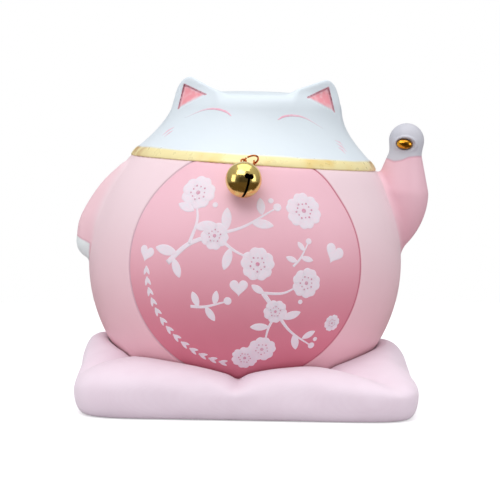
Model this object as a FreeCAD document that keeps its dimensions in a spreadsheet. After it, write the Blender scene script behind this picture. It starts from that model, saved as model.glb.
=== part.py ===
import FreeCAD, Part
import Sketcher
import math
import os
import re

# Beckoning cat figurine on a cushion.
#
# A hollow cast figure (body, head, collar, two arms) sits a little crooked in a stuffed cushion.
# A jingle bell hangs from an eye pin in the front of the collar.
#
# Frame: millimetres, +Z up, -Y is the cat's front, origin on the floor under the middle of the
# cushion. The figure is drawn upright about the centre of its round body ("figure frame") and then
# leaned and lifted into the cushion by one placement.

Vector = FreeCAD.Vector
Rotation = FreeCAD.Rotation
Placement = FreeCAD.Placement

X_AXIS = Vector(1, 0, 0)
Y_AXIS = Vector(0, 1, 0)
Z_AXIS = Vector(0, 0, 1)

DIMENSIONS = {
    # the figure as a whole
    "body_radius": 60.0,
    "body_centre_height": 52.5,
    "lean_angle": 5.0,
    "wall": 4.0,
    "foot_drop": 44.0,
    "vent_radius": 5.0,
    "neck_height": 37.3,
    # the round panel on the tummy and its groove
    "panel_angle": 44.8,
    "panel_rise": 1.7,
    "groove_radius": 0.4,
    # the band round the neck
    "collar_tall": 3.7,
    "collar_inner": 44.9,
    "collar_outer": 48.3,
    "collar_edge": 1.0,
    # ears, level with each other although the figure leans
    "ear_reach": 26.5,
    "ear_shift": 1.5,
    "ear_foot_reach": 22.0,
    "ear_foot_height": 55.5,
    "ear_foot_half_wide": 8.5,
    "ear_foot_half_deep": 6.0,
    "ear_middle_reach": 25.4,
    "ear_middle_height": 62.5,
    "ear_middle_half_wide": 7.6,
    "ear_middle_half_deep": 4.6,
    "ear_tip_reach": 26.5,
    "ear_tip_height": 70.4,
    "ear_tip_half_wide": 2.4,
    "ear_tip_half_deep": 1.5,
    # the raised arm and the bead in its paw
    "arm_behind": 4.5,
    "elbow_bend": 18.8,
    "elbow_radius": 9.6,
    "elbow_sweep": 80.0,
    "elbow_height": 30.6,
    "wrist_radius": 6.5,
    "paw_radius": 6.7,
    "paw_reach": 58.2,
    "paw_height": 51.7,
    "bead_half_width": 2.7,
    "bead_half_tall": 1.9,
    "bead_half_deep": 1.6,
    "bead_drop": 0.6,
    "bead_sink": 0.4,
    "dish_margin": 0.5,
    "bead_stem_long": 3.0,
    # the arm that lies along the side
    "rest_arm_reach": 57.6,
    "rest_arm_height": 10.5,
    "rest_arm_behind": 5.0,
    "rest_arm_radius": 7.4,
    "rest_arm_long": 22.0,
    "rest_arm_slope": 10.6,
    # the tail
    "tail_height": -18.0,
    "tail_reach": 53.0,
    "tail_half_wide": 7.0,
    "tail_half_tall": 9.0,
    "tail_half_deep": 8.0,
    # eye pin, jump ring and bell
    "eye_reach": 50.9,
    "eye_height": 38.8,
    "eye_radius": 1.1,
    "wire_radius": 0.35,
    "shank_long": 3.4,
    "ring_radius": 2.8,
    "ring_open_angle": 8.0,
    "loop_radius": 0.95,
    "loop_wire": 0.3,
    "loop_stand": 1.0,
    "loop_turn": 13.0,
    "bell_radius": 6.5,
    "bell_wall": 0.5,
    "bell_tip_back": 31.0,
    "slot_turn": 20.0,
    "slot_width": 0.9,
    "slot_end_drop": 1.8,
    "lobe_radius": 0.95,
    "lobe_apart": 0.75,
    "pellet_radius": 2.0,
    # the cushion
    "cushion_wide": 124.0,
    "cushion_deep": 120.0,
    "cushion_tall": 24.0,
    "cushion_corner": 34.0,
    "cushion_roll_top": 10.0,
    "cushion_roll_base": 8.0,
    "cloth": 1.0,
    "seam_height": 10.0,
    "seat_gap": 0.3,
    "button_radius": 6.0,
    "button_tall": 2.5,
    "button_top": 7.4,
    "thread_radius": 0.5,
}


def dome(radius, low, high):
    """Arc step from (radius, low) to the axis at high, with its centre on the axis."""
    rise = high - low
    ball = (radius ** 2 + rise ** 2) / (2 * rise)
    middle = radius / 2
    return (middle, high - ball + math.sqrt(ball ** 2 - middle ** 2), 0.0, high)


# outlines of the head from the axis at the neck to the axis at the crown, as (radius, height):
# two numbers end a straight line, four give an arc's middle point and its end
HEAD_OUTSIDE = [(44.7, 37.3), (43.9, 41.0), (37.6, 48.6, 33.1, 56.2), (32.5, 58.5, 32.1, 60.5),
                (31.0, 63.4, 27.5, 64.6), dome(27.5, 64.6, 66.3)]
HEAD_INSIDE = [(40.7, 36.8), (39.9, 41.0), (33.9, 48.0, 29.1, 56.2), (27.6, 60.2, 24.0, 61.3),
               dome(24.0, 61.3, 62.4)]

# the jump ring's plane: away from the eye pin to the ring's middle, and across
RING_AWAY = Vector(-0.42, -0.80, 0.43).normalize()
RING_ACROSS = Vector(0.848, -0.176, 0.5).normalize()
HOOK_ANGLE = -50.0
PELLET_GAP = 0.1

doc = FreeCAD.newDocument("beckoning_cat")
sheet = doc.addObject("Spreadsheet::Sheet", "Dimensions")
for row, (alias, value) in enumerate(DIMENSIONS.items(), start=1):
    sheet.set(f"A{row}", alias)
    sheet.set(f"B{row}", str(value))
    sheet.setAlias(f"B{row}", alias)
doc.recompute()

SHEET_NAME = re.compile(r"\b(" + "|".join(DIMENSIONS) + r")\b")
parts = []


def size(alias):
    """The number in the sheet under this name."""
    return float(getattr(sheet, alias))


def bind(item, **expressions):
    """Tie an object's properties to expressions written with the sheet's names."""
    for name, text in expressions.items():
        item.setExpression(name.replace("__", "."), SHEET_NAME.sub(r"Dimensions.\1", text))
    return item


def make(kind, name, **expressions):
    """Add a document object and tie its sizes to the sheet."""
    return bind(doc.addObject(kind, name), **expressions)


def place(item, x=0.0, y=0.0, z=0.0, turn=None):
    """Put an object somewhere, by default with no turn."""
    item.Placement = Placement(Vector(x, y, z), turn or Rotation())
    return item


def cut(name, base, tool):
    result = doc.addObject("Part::Cut", name)
    result.Base = base
    result.Tool = tool
    return result


def common(name, first, second):
    result = doc.addObject("Part::Common", name)
    result.Base = first
    result.Tool = second
    return result


def fuse(name, *pieces):
    result = doc.addObject("Part::MultiFuse", name)
    result.Shapes = list(pieces)
    return result


def keep(item, label):
    """Name a finished sub-part."""
    item.Label = label
    parts.append(item)
    return item


def leaned():
    """The placement that leans the figure and lifts it into the cushion."""
    return Placement(Vector(0, 0, size("body_centre_height")), Rotation(Y_AXIS, size("lean_angle")))


def in_figure(x, y, z):
    """A point of the figure frame, in the object's frame."""
    return leaned().multVec(Vector(x, y, z))


def body_sphere(name, margin="0"):
    """The round body as a solid ball, in the figure frame."""
    return make("Part::Sphere", name, Radius=f"body_radius + {margin}")


def make_body():
    """Hollow casting: a ball with a flat foot, an open neck, a vent and a small tail."""
    outside = make("Part::Sphere", "body_outside", Radius="body_radius",
                   Angle1="-asin(foot_drop / body_radius)", Angle2="asin(neck_height / body_radius)")
    tail = make("Part::Ellipsoid", "tail", Radius1="tail_half_tall", Radius2="tail_half_wide",
                Radius3="tail_half_deep")
    bind(tail, Placement__Base__y="tail_reach", Placement__Base__z="tail_height")
    inside = make("Part::Sphere", "body_inside", Radius="body_radius - wall",
                  Angle1="-asin((foot_drop - wall) / (body_radius - wall))")
    vent = make("Part::Cylinder", "body_vent", Radius="vent_radius", Height="2 * wall",
                Placement__Base__z="-foot_drop - wall / 2")
    groove = make("Part::Torus", "panel_groove", Radius1="body_radius * sin(panel_angle)",
                  Radius2="groove_radius")
    away = size("body_radius") * math.cos(math.radians(size("panel_angle")))
    rise = math.radians(size("panel_rise"))
    place(groove, 0, -away * math.cos(rise), away * math.sin(rise),
          Rotation(X_AXIS, 90 - size("panel_rise")))
    solid = fuse("body_solid", outside, tail)
    hollow = fuse("body_hollow", inside, vent, groove)
    body = cut("body_cut", solid, hollow)
    body.Placement = leaned()
    keep(body, "body_casting")


def make_ear(name, side):
    """One ear: a flattened cone, side is -1 or 1; both tips stand level when the figure leans."""
    lift = side * size("ear_reach") * math.sin(math.radians(size("lean_angle")))
    rings = []
    for step in ("foot", "middle", "tip"):
        ring = make("Part::Ellipse", f"{name}_{step}", MajorRadius=f"ear_{step}_half_wide",
                    MinorRadius=f"ear_{step}_half_deep",
                    Placement__Base__x=f"{side} * ear_{step}_reach - ear_shift",
                    Placement__Base__z=f"ear_{step}_height + {lift}")
        rings.append(ring)
    ear = doc.addObject("Part::Loft", name)
    ear.Sections = rings
    ear.Solid = True
    ear.Ruled = True
    return ear


def closed_outline(outline):
    """Lines and arcs from the axis, through the outline's points, back to the axis."""
    height = outline[0][1]
    edges = []
    here = Vector(0, height, 0)
    for step in outline:
        there = Vector(step[-2], step[-1], 0)
        if len(step) == 2:
            edges.append(Part.LineSegment(here, there))
        else:
            edges.append(Part.Arc(here, Vector(step[0], step[1], 0), there))
        here = there
    edges.append(Part.LineSegment(here, Vector(0, height, 0)))
    return edges


def turned_body(name, edges):
    """PartDesign body turned about the upright axis from a sketch on its own XZ plane."""
    body = doc.addObject("PartDesign::Body", name)
    sketch = body.newObject("Sketcher::SketchObject", f"{name}_outline")
    plane = [item for item in body.Origin.OriginFeatures if item.Role == "XZ_Plane"][0]
    sketch.AttachmentSupport = [(plane, "")]
    sketch.MapMode = "FlatFace"
    sketch.addGeometry(edges, False)
    turned = body.newObject("PartDesign::Revolution", f"{name}_turned")
    turned.Profile = sketch
    turned.ReferenceAxis = (sketch, ["V_Axis"])
    turned.Angle = 360
    doc.recompute()
    return body, sketch, turned


def make_head():
    """Hollow casting: a flared dome with two ears."""
    outside = turned_body("head_outside", closed_outline(HEAD_OUTSIDE))[0]
    inside = turned_body("head_inside", closed_outline(HEAD_INSIDE))[0]
    solid = fuse("head_solid", outside, make_ear("ear_left", -1), make_ear("ear_right", 1))
    head = cut("head_cut", solid, inside)
    head.Placement = leaned()
    keep(head, "head_casting")


def make_collar():
    """Band round the neck, turned from a rectangle with softened outer edges."""
    inner = size("collar_inner")
    outer = size("collar_outer")
    low = size("neck_height")
    high = low + size("collar_tall")
    corners = [Vector(inner, low), Vector(outer, low), Vector(outer, high), Vector(inner, high)]
    body, sketch, turned = turned_body("collar", rectangle(corners))
    hold_rectangle(sketch, [("DistanceX", 0, inner, "collar_inner"),
                            ("DistanceX", 1, outer, "collar_outer"),
                            ("DistanceY", 0, low, "neck_height"),
                            ("DistanceY", 2, high, "neck_height + collar_tall")])
    rims = [f"Edge{number}" for number, edge in enumerate(turned.Shape.Edges, start=1)
            if abs(edge.BoundBox.XMax - outer) < 0.01 and edge.BoundBox.ZLength < 0.01]
    soften(body, turned, rims, "collar_edge")
    body.Placement = leaned()
    keep(body, "collar_band")


def rectangle(corners):
    """Four lines through four corners."""
    return [Part.LineSegment(corner, corners[(index + 1) % 4]) for index, corner in enumerate(corners)]


def hold_rectangle(sketch, distances):
    """Join four lines, keep them level and upright, and tie their distances to the sheet."""
    for index in range(4):
        sketch.addConstraint(Sketcher.Constraint("Coincident", index, 2, (index + 1) % 4, 1))
    for index, kind in enumerate(["Horizontal", "Vertical", "Horizontal", "Vertical"]):
        sketch.addConstraint(Sketcher.Constraint(kind, index))
    for kind, line, value, text in distances:
        number = sketch.addConstraint(Sketcher.Constraint(kind, -1, 1, line, 1, value))
        bind(sketch, **{f"Constraints[{number}]": text})


def dish_tool(name, margin):
    """The bead's shape, or the dish round it, in the front of the raised paw."""
    tool = make("Part::Ellipsoid", name, Radius1=f"bead_half_tall + {margin}",
                Radius2=f"bead_half_width + {margin}", Radius3=f"bead_half_deep + {margin}")
    bind(tool, Placement__Base__x="paw_reach", Placement__Base__z="paw_height - bead_drop",
         Placement__Base__y="arm_behind - paw_radius + bead_sink")
    return tool


def make_raised_arm():
    """Arm cast with its paw, trimmed to lie on the body; a dish holds the bead."""
    elbow = make("Part::Torus", "elbow", Radius1="elbow_bend", Radius2="elbow_radius",
                 Angle3="elbow_sweep")
    elbow.Placement.Rotation = Rotation(X_AXIS, 90) * Rotation(Z_AXIS, -size("elbow_sweep"))
    bind(elbow, Placement__Base__x="paw_reach - elbow_bend", Placement__Base__y="arm_behind",
         Placement__Base__z="elbow_height")
    forearm = make("Part::Cone", "forearm", Radius1="elbow_radius", Radius2="wrist_radius",
                   Height="paw_height - paw_radius / 2 - elbow_height",
                   Placement__Base__x="paw_reach", Placement__Base__y="arm_behind",
                   Placement__Base__z="elbow_height")
    paw = make("Part::Sphere", "paw", Radius="paw_radius", Placement__Base__x="paw_reach",
               Placement__Base__y="arm_behind", Placement__Base__z="paw_height")
    trimmed = cut("arm_trimmed", fuse("arm_whole", elbow, forearm, paw), body_sphere("arm_seat"))
    bead_room = fuse("bead_room", dish_tool("bead_dish", "dish_margin"), bead_stem("peg_hole"))
    arm = cut("arm_cut", trimmed, bead_room)
    arm.Placement = leaned()
    keep(arm, "raised_arm")


def make_bead():
    """The bead, held in the dish by its peg."""
    bead = fuse("bead_piece", dish_tool("bead", "0"), bead_stem("peg"))
    bead.Placement = leaned()
    keep(bead, "paw_bead")


def bead_stem(name):
    """Short peg on the bead's back, or the blind hole for it."""
    stem = make("Part::Cylinder", name, Radius="bead_half_tall / 2", Height="bead_stem_long")
    bind(stem, Placement__Base__x="paw_reach", Placement__Base__z="paw_height - bead_drop",
         Placement__Base__y="arm_behind - paw_radius + bead_sink")
    stem.Placement.Rotation = Rotation(X_AXIS, -90)
    return stem


def make_resting_arm():
    """Arm lying along the side: a round-ended bar, trimmed to lie on the body."""
    bar = make("Part::Cylinder", "resting_bar", Radius="rest_arm_radius", Height="rest_arm_long")
    bar.Placement.Base = Vector(0, 0, -size("rest_arm_long") / 2)
    ends = []
    for side in (-1, 1):
        end = make("Part::Sphere", f"resting_end_{side + 1}", Radius="rest_arm_radius")
        bind(end, Placement__Base__z=f"{side} * rest_arm_long / 2")
        ends.append(end)
    whole = fuse("resting_whole", bar, *ends)
    place(whole, -size("rest_arm_reach"), size("rest_arm_behind"), size("rest_arm_height"),
          Rotation(Y_AXIS, size("rest_arm_slope")))
    trimmed = cut("resting_cut", whole, body_sphere("resting_seat"))
    trimmed.Placement = leaned()
    keep(trimmed, "resting_arm")


def eye_point():
    """Middle of the eye pin's hole, in the object's frame."""
    return in_figure(0, -size("eye_reach"), size("eye_height"))


def ring_centre():
    return eye_point() + RING_AWAY * size("ring_radius")


def hook_point():
    """Where the bell's loop hangs on the jump ring."""
    angle = math.radians(HOOK_ANGLE)
    direction = RING_AWAY * math.cos(angle) + RING_ACROSS * math.sin(angle)
    return ring_centre() + direction * size("ring_radius")


def bell_placement(turn):
    """The bell's own frame, tipped back against the tummy; turn is about the bell's axis."""
    tilt = Rotation(X_AXIS, -size("bell_tip_back"))
    drop = size("bell_radius") + size("loop_stand")
    centre = hook_point() - tilt.multVec(Vector(0, 0, drop))
    return Placement(centre, tilt * Rotation(Z_AXIS, turn))


def make_eye_pin():
    """Round eye on a straight shank that is set in the collar."""
    eye = make("Part::Torus", "eye", Radius1="eye_radius", Radius2="wire_radius")
    shank = make("Part::Cylinder", "shank", Radius="wire_radius", Height="shank_long")
    place(eye, turn=Rotation(Y_AXIS, 90))
    place(shank, y=size("eye_radius"), turn=Rotation(X_AXIS, -90))
    pin = fuse("pin", eye, shank)
    pin.Placement = Placement(eye_point(), Rotation())
    keep(pin, "bell_eye_pin")


def make_jump_ring():
    """Round wire ring with a small opening."""
    ring = make("Part::Torus", "ring", Radius1="ring_radius", Radius2="wire_radius",
                Angle3="360 - ring_open_angle")
    turn = Rotation(RING_AWAY, RING_ACROSS, RING_AWAY.cross(RING_ACROSS), "ZXY")
    ring.Placement = Placement(ring_centre(), turn)
    keep(ring, "jump_ring")


def half_bell(name, low, high):
    """Half of the bell's shell between two latitudes."""
    outside = make("Part::Sphere", f"{name}_outside", Radius="bell_radius", Angle1=low, Angle2=high)
    inside = make("Part::Sphere", f"{name}_inside", Radius="bell_radius - bell_wall")
    return cut(f"{name}_shell", outside, inside)


def make_bell():
    """Two half shells, the loop on the crown and the loose pellet inside."""
    crown = half_bell("crown", "0", "90")
    crown.Placement = bell_placement(0)
    keep(crown, "bell_crown")

    slot = make("Part::Box", "slot", Length="slot_width", Width="3 * bell_radius",
                Height="2 * bell_radius - slot_end_drop", Placement__Base__x="-slot_width / 2",
                Placement__Base__y="-1.5 * bell_radius", Placement__Base__z="-2 * bell_radius")
    lobes = []
    for side in (-1, 1):
        lobe = make("Part::Cylinder", f"lobe_{side + 1}", Radius="lobe_radius", Height="3 * bell_radius")
        place(lobe, turn=Rotation(X_AXIS, 90))
        bind(lobe, Placement__Base__x=f"{side} * lobe_apart", Placement__Base__y="1.5 * bell_radius",
             Placement__Base__z="-slot_end_drop")
        lobes.append(lobe)
    skirt = cut("skirt_cut", half_bell("skirt", "-90", "0"), fuse("slots", slot, *lobes))
    skirt.Placement = bell_placement(size("slot_turn"))
    keep(skirt, "bell_skirt")

    ring = make("Part::Torus", "loop_ring", Radius1="loop_radius", Radius2="loop_wire")
    place(ring, turn=Rotation(X_AXIS, 90))
    bind(ring, Placement__Base__z="bell_radius + loop_stand")
    loop = cut("loop_cut", ring, make("Part::Sphere", "loop_seat", Radius="bell_radius"))
    loop.Placement = bell_placement(size("loop_turn"))
    keep(loop, "bell_loop")

    pellet = make("Part::Sphere", "pellet", Radius="pellet_radius")
    rest = size("bell_radius") - size("bell_wall") - size("pellet_radius") - PELLET_GAP
    pellet.Placement = Placement(bell_placement(0).Base - Vector(0, 0, rest), Rotation())
    keep(pellet, "bell_pellet")


def pillow(name, margin):
    """Rounded square pad with rolled edges, smaller all round by margin."""
    body = doc.addObject("PartDesign::Body", name)
    sketch = body.newObject("Sketcher::SketchObject", f"{name}_outline")
    plane = [item for item in body.Origin.OriginFeatures if item.Role == "XY_Plane"][0]
    sketch.AttachmentSupport = [(plane, "")]
    sketch.MapMode = "FlatFace"
    wide = size("cushion_wide") / 2 - margin
    deep = size("cushion_deep") / 2 - margin
    corners = [Vector(-wide, -deep), Vector(wide, -deep), Vector(wide, deep), Vector(-wide, deep)]
    sketch.addGeometry(rectangle(corners), False)
    hold_rectangle(sketch, [("DistanceX", 0, -wide, f"-(cushion_wide / 2 - {margin})"),
                            ("DistanceX", 1, wide, f"cushion_wide / 2 - {margin}"),
                            ("DistanceY", 0, -deep, f"-(cushion_deep / 2 - {margin})"),
                            ("DistanceY", 2, deep, f"cushion_deep / 2 - {margin}")])
    pad = body.newObject("PartDesign::Pad", f"{name}_pad")
    pad.Profile = sketch
    bind(pad, Length=f"cushion_tall - 2 * {margin}")
    doc.recompute()
    upright = [f"Edge{number}" for number, edge in enumerate(pad.Shape.Edges, start=1)
               if edge.BoundBox.ZLength > 1]
    rounded = soften(body, pad, upright, f"cushion_corner - {margin}")
    top = [f"Edge{number}" for number, edge in enumerate(rounded.Shape.Edges, start=1)
           if edge.BoundBox.ZMin > 1]
    rolled = soften(body, rounded, top, f"cushion_roll_top - {margin}")
    base = [f"Edge{number}" for number, edge in enumerate(rolled.Shape.Edges, start=1)
            if edge.BoundBox.ZMax < 0.01]
    soften(body, rolled, base, f"cushion_roll_base - {margin}")
    body.Placement = Placement(Vector(0, 0, margin), Rotation())
    return body


def soften(body, base, edges, radius):
    """Fillet these edges of a body's feature."""
    fillet = body.newObject("PartDesign::Fillet", f"{body.Name}_fillet")
    fillet.Base = (base, edges)
    bind(fillet, Radius=radius)
    doc.recompute()
    return fillet


def seat_tool(name, margin):
    """The hollow that the figure presses into the cushion, larger all round by margin."""
    tool = make("Part::Sphere", name, Radius=f"body_radius + {margin}",
                Angle1=f"-asin((foot_drop + {margin}) / (body_radius + {margin}))")
    tool.Placement = leaned()
    return tool


def drum(name, radius, low, high):
    """Upright cylinder on the cushion's centre line."""
    return make("Part::Cylinder", name, Radius=radius, Height=f"({high}) - ({low})", Placement__Base__z=low)


def make_cushion():
    """Two cloth panels round a filling, drawn in at the middle by a button and a thread."""
    cloth = size("cloth")
    outside = pillow("cushion_outside", 0.0)
    inside = pillow("cushion_inside", cloth)
    below_seam = make("Part::Box", "below_seam", Length="2 * cushion_wide", Width="2 * cushion_deep",
                      Height="seam_height", Placement__Base__x="-cushion_wide",
                      Placement__Base__y="-cushion_deep")
    thread_path = drum("thread_path", "thread_radius", "0", "button_top - button_tall")
    button_room = drum("button_room", "button_radius", "button_top - button_tall", "cushion_tall")

    sack = cut("sack", outside, inside)
    base = cut("base_cut", common("base_whole", sack, below_seam), thread_path)
    keep(base, "cushion_base")

    filling_pressed = cut("filling_pressed", inside, seat_tool("filling_seat", "seat_gap + cloth"))
    filling = cut("filling_cut", filling_pressed, fuse("filling_holes", thread_path, button_room))
    keep(filling, "cushion_filling")

    top_pressed = cut("top_pressed", outside, seat_tool("top_seat", "seat_gap"))
    top_open = cut("top_open", top_pressed, button_room)
    not_top = fuse("not_top", filling, base, thread_path)
    keep(cut("top_cut", top_open, not_top), "cushion_top")

    keep(drum("button", "button_radius", "button_top - button_tall", "button_top"), "tuft_button")
    thread = drum("thread", "thread_radius", "0", "button_top - button_tall")
    keep(thread, "tuft_thread")


def write_parts():
    """Check every object, then write one file for each sub-part."""
    doc.recompute()
    for item in doc.Objects:
        if "Invalid" in item.State or "Error" in item.State:
            raise RuntimeError(f"{item.Label} failed: {item.State}")
    for item in parts:
        if item.Shape.isNull() or not item.Shape.isValid():
            raise RuntimeError(f"{item.Label} has no valid shape")
    os.makedirs("parts", exist_ok=True)
    for item in parts:
        item.Shape.exportStep(f"parts/{item.Label}.step")
        solids = len(item.Shape.Solids)
        print(f"{item.Label}: {solids} solid, {item.Shape.Volume:.1f} mm3")


make_body()
make_head()
make_collar()
make_raised_arm()
make_bead()
make_resting_arm()
make_eye_pin()
make_jump_ring()
make_bell()
make_cushion()
write_parts()
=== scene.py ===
import math

import bmesh
import bpy
import numpy as np
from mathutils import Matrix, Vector


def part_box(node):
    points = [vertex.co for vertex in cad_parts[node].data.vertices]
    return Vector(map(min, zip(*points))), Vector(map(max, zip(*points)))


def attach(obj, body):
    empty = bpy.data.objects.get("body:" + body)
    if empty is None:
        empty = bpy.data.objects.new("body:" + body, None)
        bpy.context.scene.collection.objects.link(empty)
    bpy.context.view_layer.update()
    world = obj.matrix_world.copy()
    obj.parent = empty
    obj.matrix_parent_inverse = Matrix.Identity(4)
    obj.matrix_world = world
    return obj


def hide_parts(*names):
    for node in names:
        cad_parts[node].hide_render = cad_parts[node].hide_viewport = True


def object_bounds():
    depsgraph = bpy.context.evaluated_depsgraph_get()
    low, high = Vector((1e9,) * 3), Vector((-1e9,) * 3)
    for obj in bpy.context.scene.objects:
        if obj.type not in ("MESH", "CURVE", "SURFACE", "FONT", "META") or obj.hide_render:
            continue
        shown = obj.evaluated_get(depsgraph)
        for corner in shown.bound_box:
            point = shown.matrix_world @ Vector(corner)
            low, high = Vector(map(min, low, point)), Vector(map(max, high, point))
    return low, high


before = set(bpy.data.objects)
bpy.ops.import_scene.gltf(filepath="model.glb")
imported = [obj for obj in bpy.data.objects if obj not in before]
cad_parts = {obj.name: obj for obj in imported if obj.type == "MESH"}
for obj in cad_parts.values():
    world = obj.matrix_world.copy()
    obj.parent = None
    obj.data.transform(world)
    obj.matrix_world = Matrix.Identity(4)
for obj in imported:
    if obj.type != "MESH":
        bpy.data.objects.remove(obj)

# The cat is drawn in millimetres in its own "figure frame": the middle of the round body is the
# origin, z runs up through the neck, -y is the front. The whole figure leans, so "level"
# coordinates are the same millimetres turned upright. "Row" coordinates are those of the shared
# frame, with the floor at z = 0; the cushion is drawn in row millimetres.

CAD_LOW, CAD_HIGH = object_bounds()
MM = 0.001


def box_mm(node):
    """Lowest and highest corner of a CAD node in row millimetres."""
    low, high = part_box(node)
    return np.array(low) / MM, np.array(high) / MM


BODY_LOW, BODY_HIGH = box_mm("body_casting")
RADIUS = (BODY_HIGH[0] - BODY_LOW[0]) / 2
LEAN = math.radians(5.0)
FOOT_DROP = 44.0
NECK_HEIGHT = 37.3
# the neck's seam climbs by this much for each millimetre to the right of its low side; the climb
# grows and fades over these heights and ends at this distance from the axis
NECK_CLIMB = 0.0215
NECK_LOW_SIDE = RADIUS - 15
CLIMB_GROWS = (16, 36)
CLIMB_FADES = (62, 42)
CLIMB_REACH = (54, 48)
FOOT_RADIUS = math.sqrt(RADIUS ** 2 - FOOT_DROP ** 2)
CENTRE_HEIGHT = BODY_LOW[2] + FOOT_DROP * math.cos(LEAN) + FOOT_RADIUS * math.sin(LEAN)
TUCK = 0.02

CROWN_LOW, CROWN_HIGH = box_mm("bell_crown")
BELL_RADIUS = (CROWN_HIGH[0] - CROWN_LOW[0]) / 2
BELL_MIDDLE = np.array([(CROWN_LOW[0] + CROWN_HIGH[0]) / 2, CROWN_HIGH[1] - BELL_RADIUS,
                        CROWN_HIGH[2] - BELL_RADIUS])

X, Y, Z = np.eye(3)


# ---------------------------------------------------------------- frames and vectors

def upright(points, lean=LEAN):
    """Figure millimetres to level millimetres; the other way round with the opposite lean."""
    x, y, z = np.moveaxis(np.asarray(points, float), -1, 0)
    cos, sin = math.cos(lean), math.sin(lean)
    return np.stack([x * cos + z * sin, y, z * cos - x * sin], -1)


def to_row(points):
    """Figure millimetres to row metres."""
    return (upright(points) + [0, 0, CENTRE_HEIGHT] + neck_lift(points)[..., None] * Z) * MM


def neck_lift(points):
    """The seam at the neck is a little less steep than the figure's lean: it climbs to the right."""
    x, y, z = np.moveaxis(np.asarray(points, float), -1, 0)
    share = smoothstep(*CLIMB_GROWS, z) * smoothstep(*CLIMB_FADES, z)
    return NECK_CLIMB * (x + NECK_LOW_SIDE) * share * smoothstep(*CLIMB_REACH, np.hypot(x, y))


def unit(vectors):
    vectors = np.asarray(vectors, float)
    return vectors / np.linalg.norm(vectors, axis=-1, keepdims=True)


def length(vectors):
    return np.linalg.norm(vectors, axis=-1)


def direction(azimuth, elevation):
    """Unit vector in the figure frame; azimuth in degrees from the front towards +x."""
    azimuth, elevation = math.radians(azimuth), math.radians(elevation)
    return np.array([math.sin(azimuth) * math.cos(elevation), -math.cos(azimuth) * math.cos(elevation),
                     math.sin(elevation)])


def smoothstep(low, high, value):
    share = np.clip((value - low) / (high - low), 0, 1)
    return share * share * (3 - 2 * share)


def full_turn(count):
    """Evenly spaced angles of one turn."""
    return np.linspace(0, 2 * math.pi, count, endpoint=False)


def turned(flat, degrees):
    """Flat points turned about their origin."""
    cos, sin = math.cos(math.radians(degrees)), math.sin(math.radians(degrees))
    return np.asarray(flat, float) @ [[cos, sin], [-sin, cos]]


# ---------------------------------------------------------------- solid shapes as fields
# A field is negative inside a shape and positive outside, in millimetres.

def soft_min(a, b, blend):
    share = np.clip(0.5 + 0.5 * (b - a) / blend, 0, 1)
    return b + (a - b) * share - blend * share * (1 - share)


def soft_max(a, b, blend):
    return -soft_min(-a, -b, blend)


def round_join(a, b, radius):
    """Union of two shapes with a fillet of this radius between them."""
    inner = np.hypot(np.maximum(radius - a, 0), np.maximum(radius - b, 0))
    return np.maximum(radius, np.minimum(a, b)) - inner


def round_meet(a, b, radius):
    """Intersection of two shapes with its edge rounded to this radius."""
    return -round_join(-a, -b, radius)


def round_cone(points, low, high, low_radius, high_radius):
    """Two balls and the cone that touches both."""
    axis = high - low
    span = np.linalg.norm(axis)
    along = (points - low) @ axis / span
    across = length(points - low - np.outer(along, axis / span))
    slope = (low_radius - high_radius) / span
    flank = math.sqrt(1 - slope ** 2)
    side = across * flank + along * slope - low_radius
    near_low = np.hypot(across, along) - low_radius
    near_high = np.hypot(across, along - span) - high_radius
    turn = along * flank - across * slope
    return np.where(turn < 0, near_low, np.where(turn > span * flank, near_high, side))


def slopes(field, points):
    """The field's gradient at each point."""
    reach = 0.03
    return np.stack([(field(points + reach * axis) - field(points - reach * axis)) / (2 * reach)
                     for axis in (X, Y, Z)], -1)


def settle(field, points, rounds):
    """Slide points down the field's slope until they lie on its surface."""
    longest = 0.5
    for _ in range(rounds):
        slope = slopes(field, points)
        move = slope * (field(points) / (np.sum(slope ** 2, -1) + 1e-9))[:, None]
        points = points - move * np.minimum(1, longest / (length(move)[:, None] + 1e-9))
    return points


def cell_corner(grid, shift):
    """The grid's value at one corner of every cell."""
    return grid[tuple(slice(s, s + n - 1) for s, n in zip(shift, grid.shape))]


def skin(field, low, high, step):
    """Quads on the surface of a field: one point in each grid cell that the surface crosses."""
    grid = np.stack(np.meshgrid(*[np.arange(a, b + step, step) for a, b in zip(low, high)],
                                indexing="ij"), -1)
    values = field(grid.reshape(-1, 3)).reshape(grid.shape[:3])
    inside = values < 0
    total, hits = 0, 0
    for first in np.ndindex(2, 2, 2):
        for axis in np.eye(3, dtype=int)[np.equal(first, 0)]:
            start, end = cell_corner(values, first), cell_corner(values, first + axis)
            cross = (start < 0) != (end < 0)
            share = np.where(cross, start / np.where(cross, start - end, 1), 0)
            total = total + cross[..., None] * (first + share[..., None] * axis)
            hits = hits + cross
    crossed = hits > 0
    number = np.cumsum(crossed).reshape(crossed.shape) - 1
    points = (np.argwhere(crossed) + total[crossed] / hits[crossed][:, None]) * step + low
    cells = np.array(crossed.shape)
    quads = []
    for axis in range(3):
        beside = [(axis + 1) % 3, (axis + 2) % 3]
        spots = np.argwhere(np.diff(inside, axis=axis))
        spots = spots[np.all((spots[:, beside] > 0) & (spots[:, beside] < cells[beside]), 1)]
        around = np.zeros((4, 3), int)
        around[:, beside] = [(0, 0), (1, 0), (1, 1), (0, 1)]
        square = number[tuple(np.moveaxis(spots[:, None] - around, -1, 0))]
        leaving = ~inside[tuple(spots.T)]
        square[leaving] = square[leaving][:, ::-1]
        quads.append(square)
    return points, np.concatenate(quads)


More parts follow.
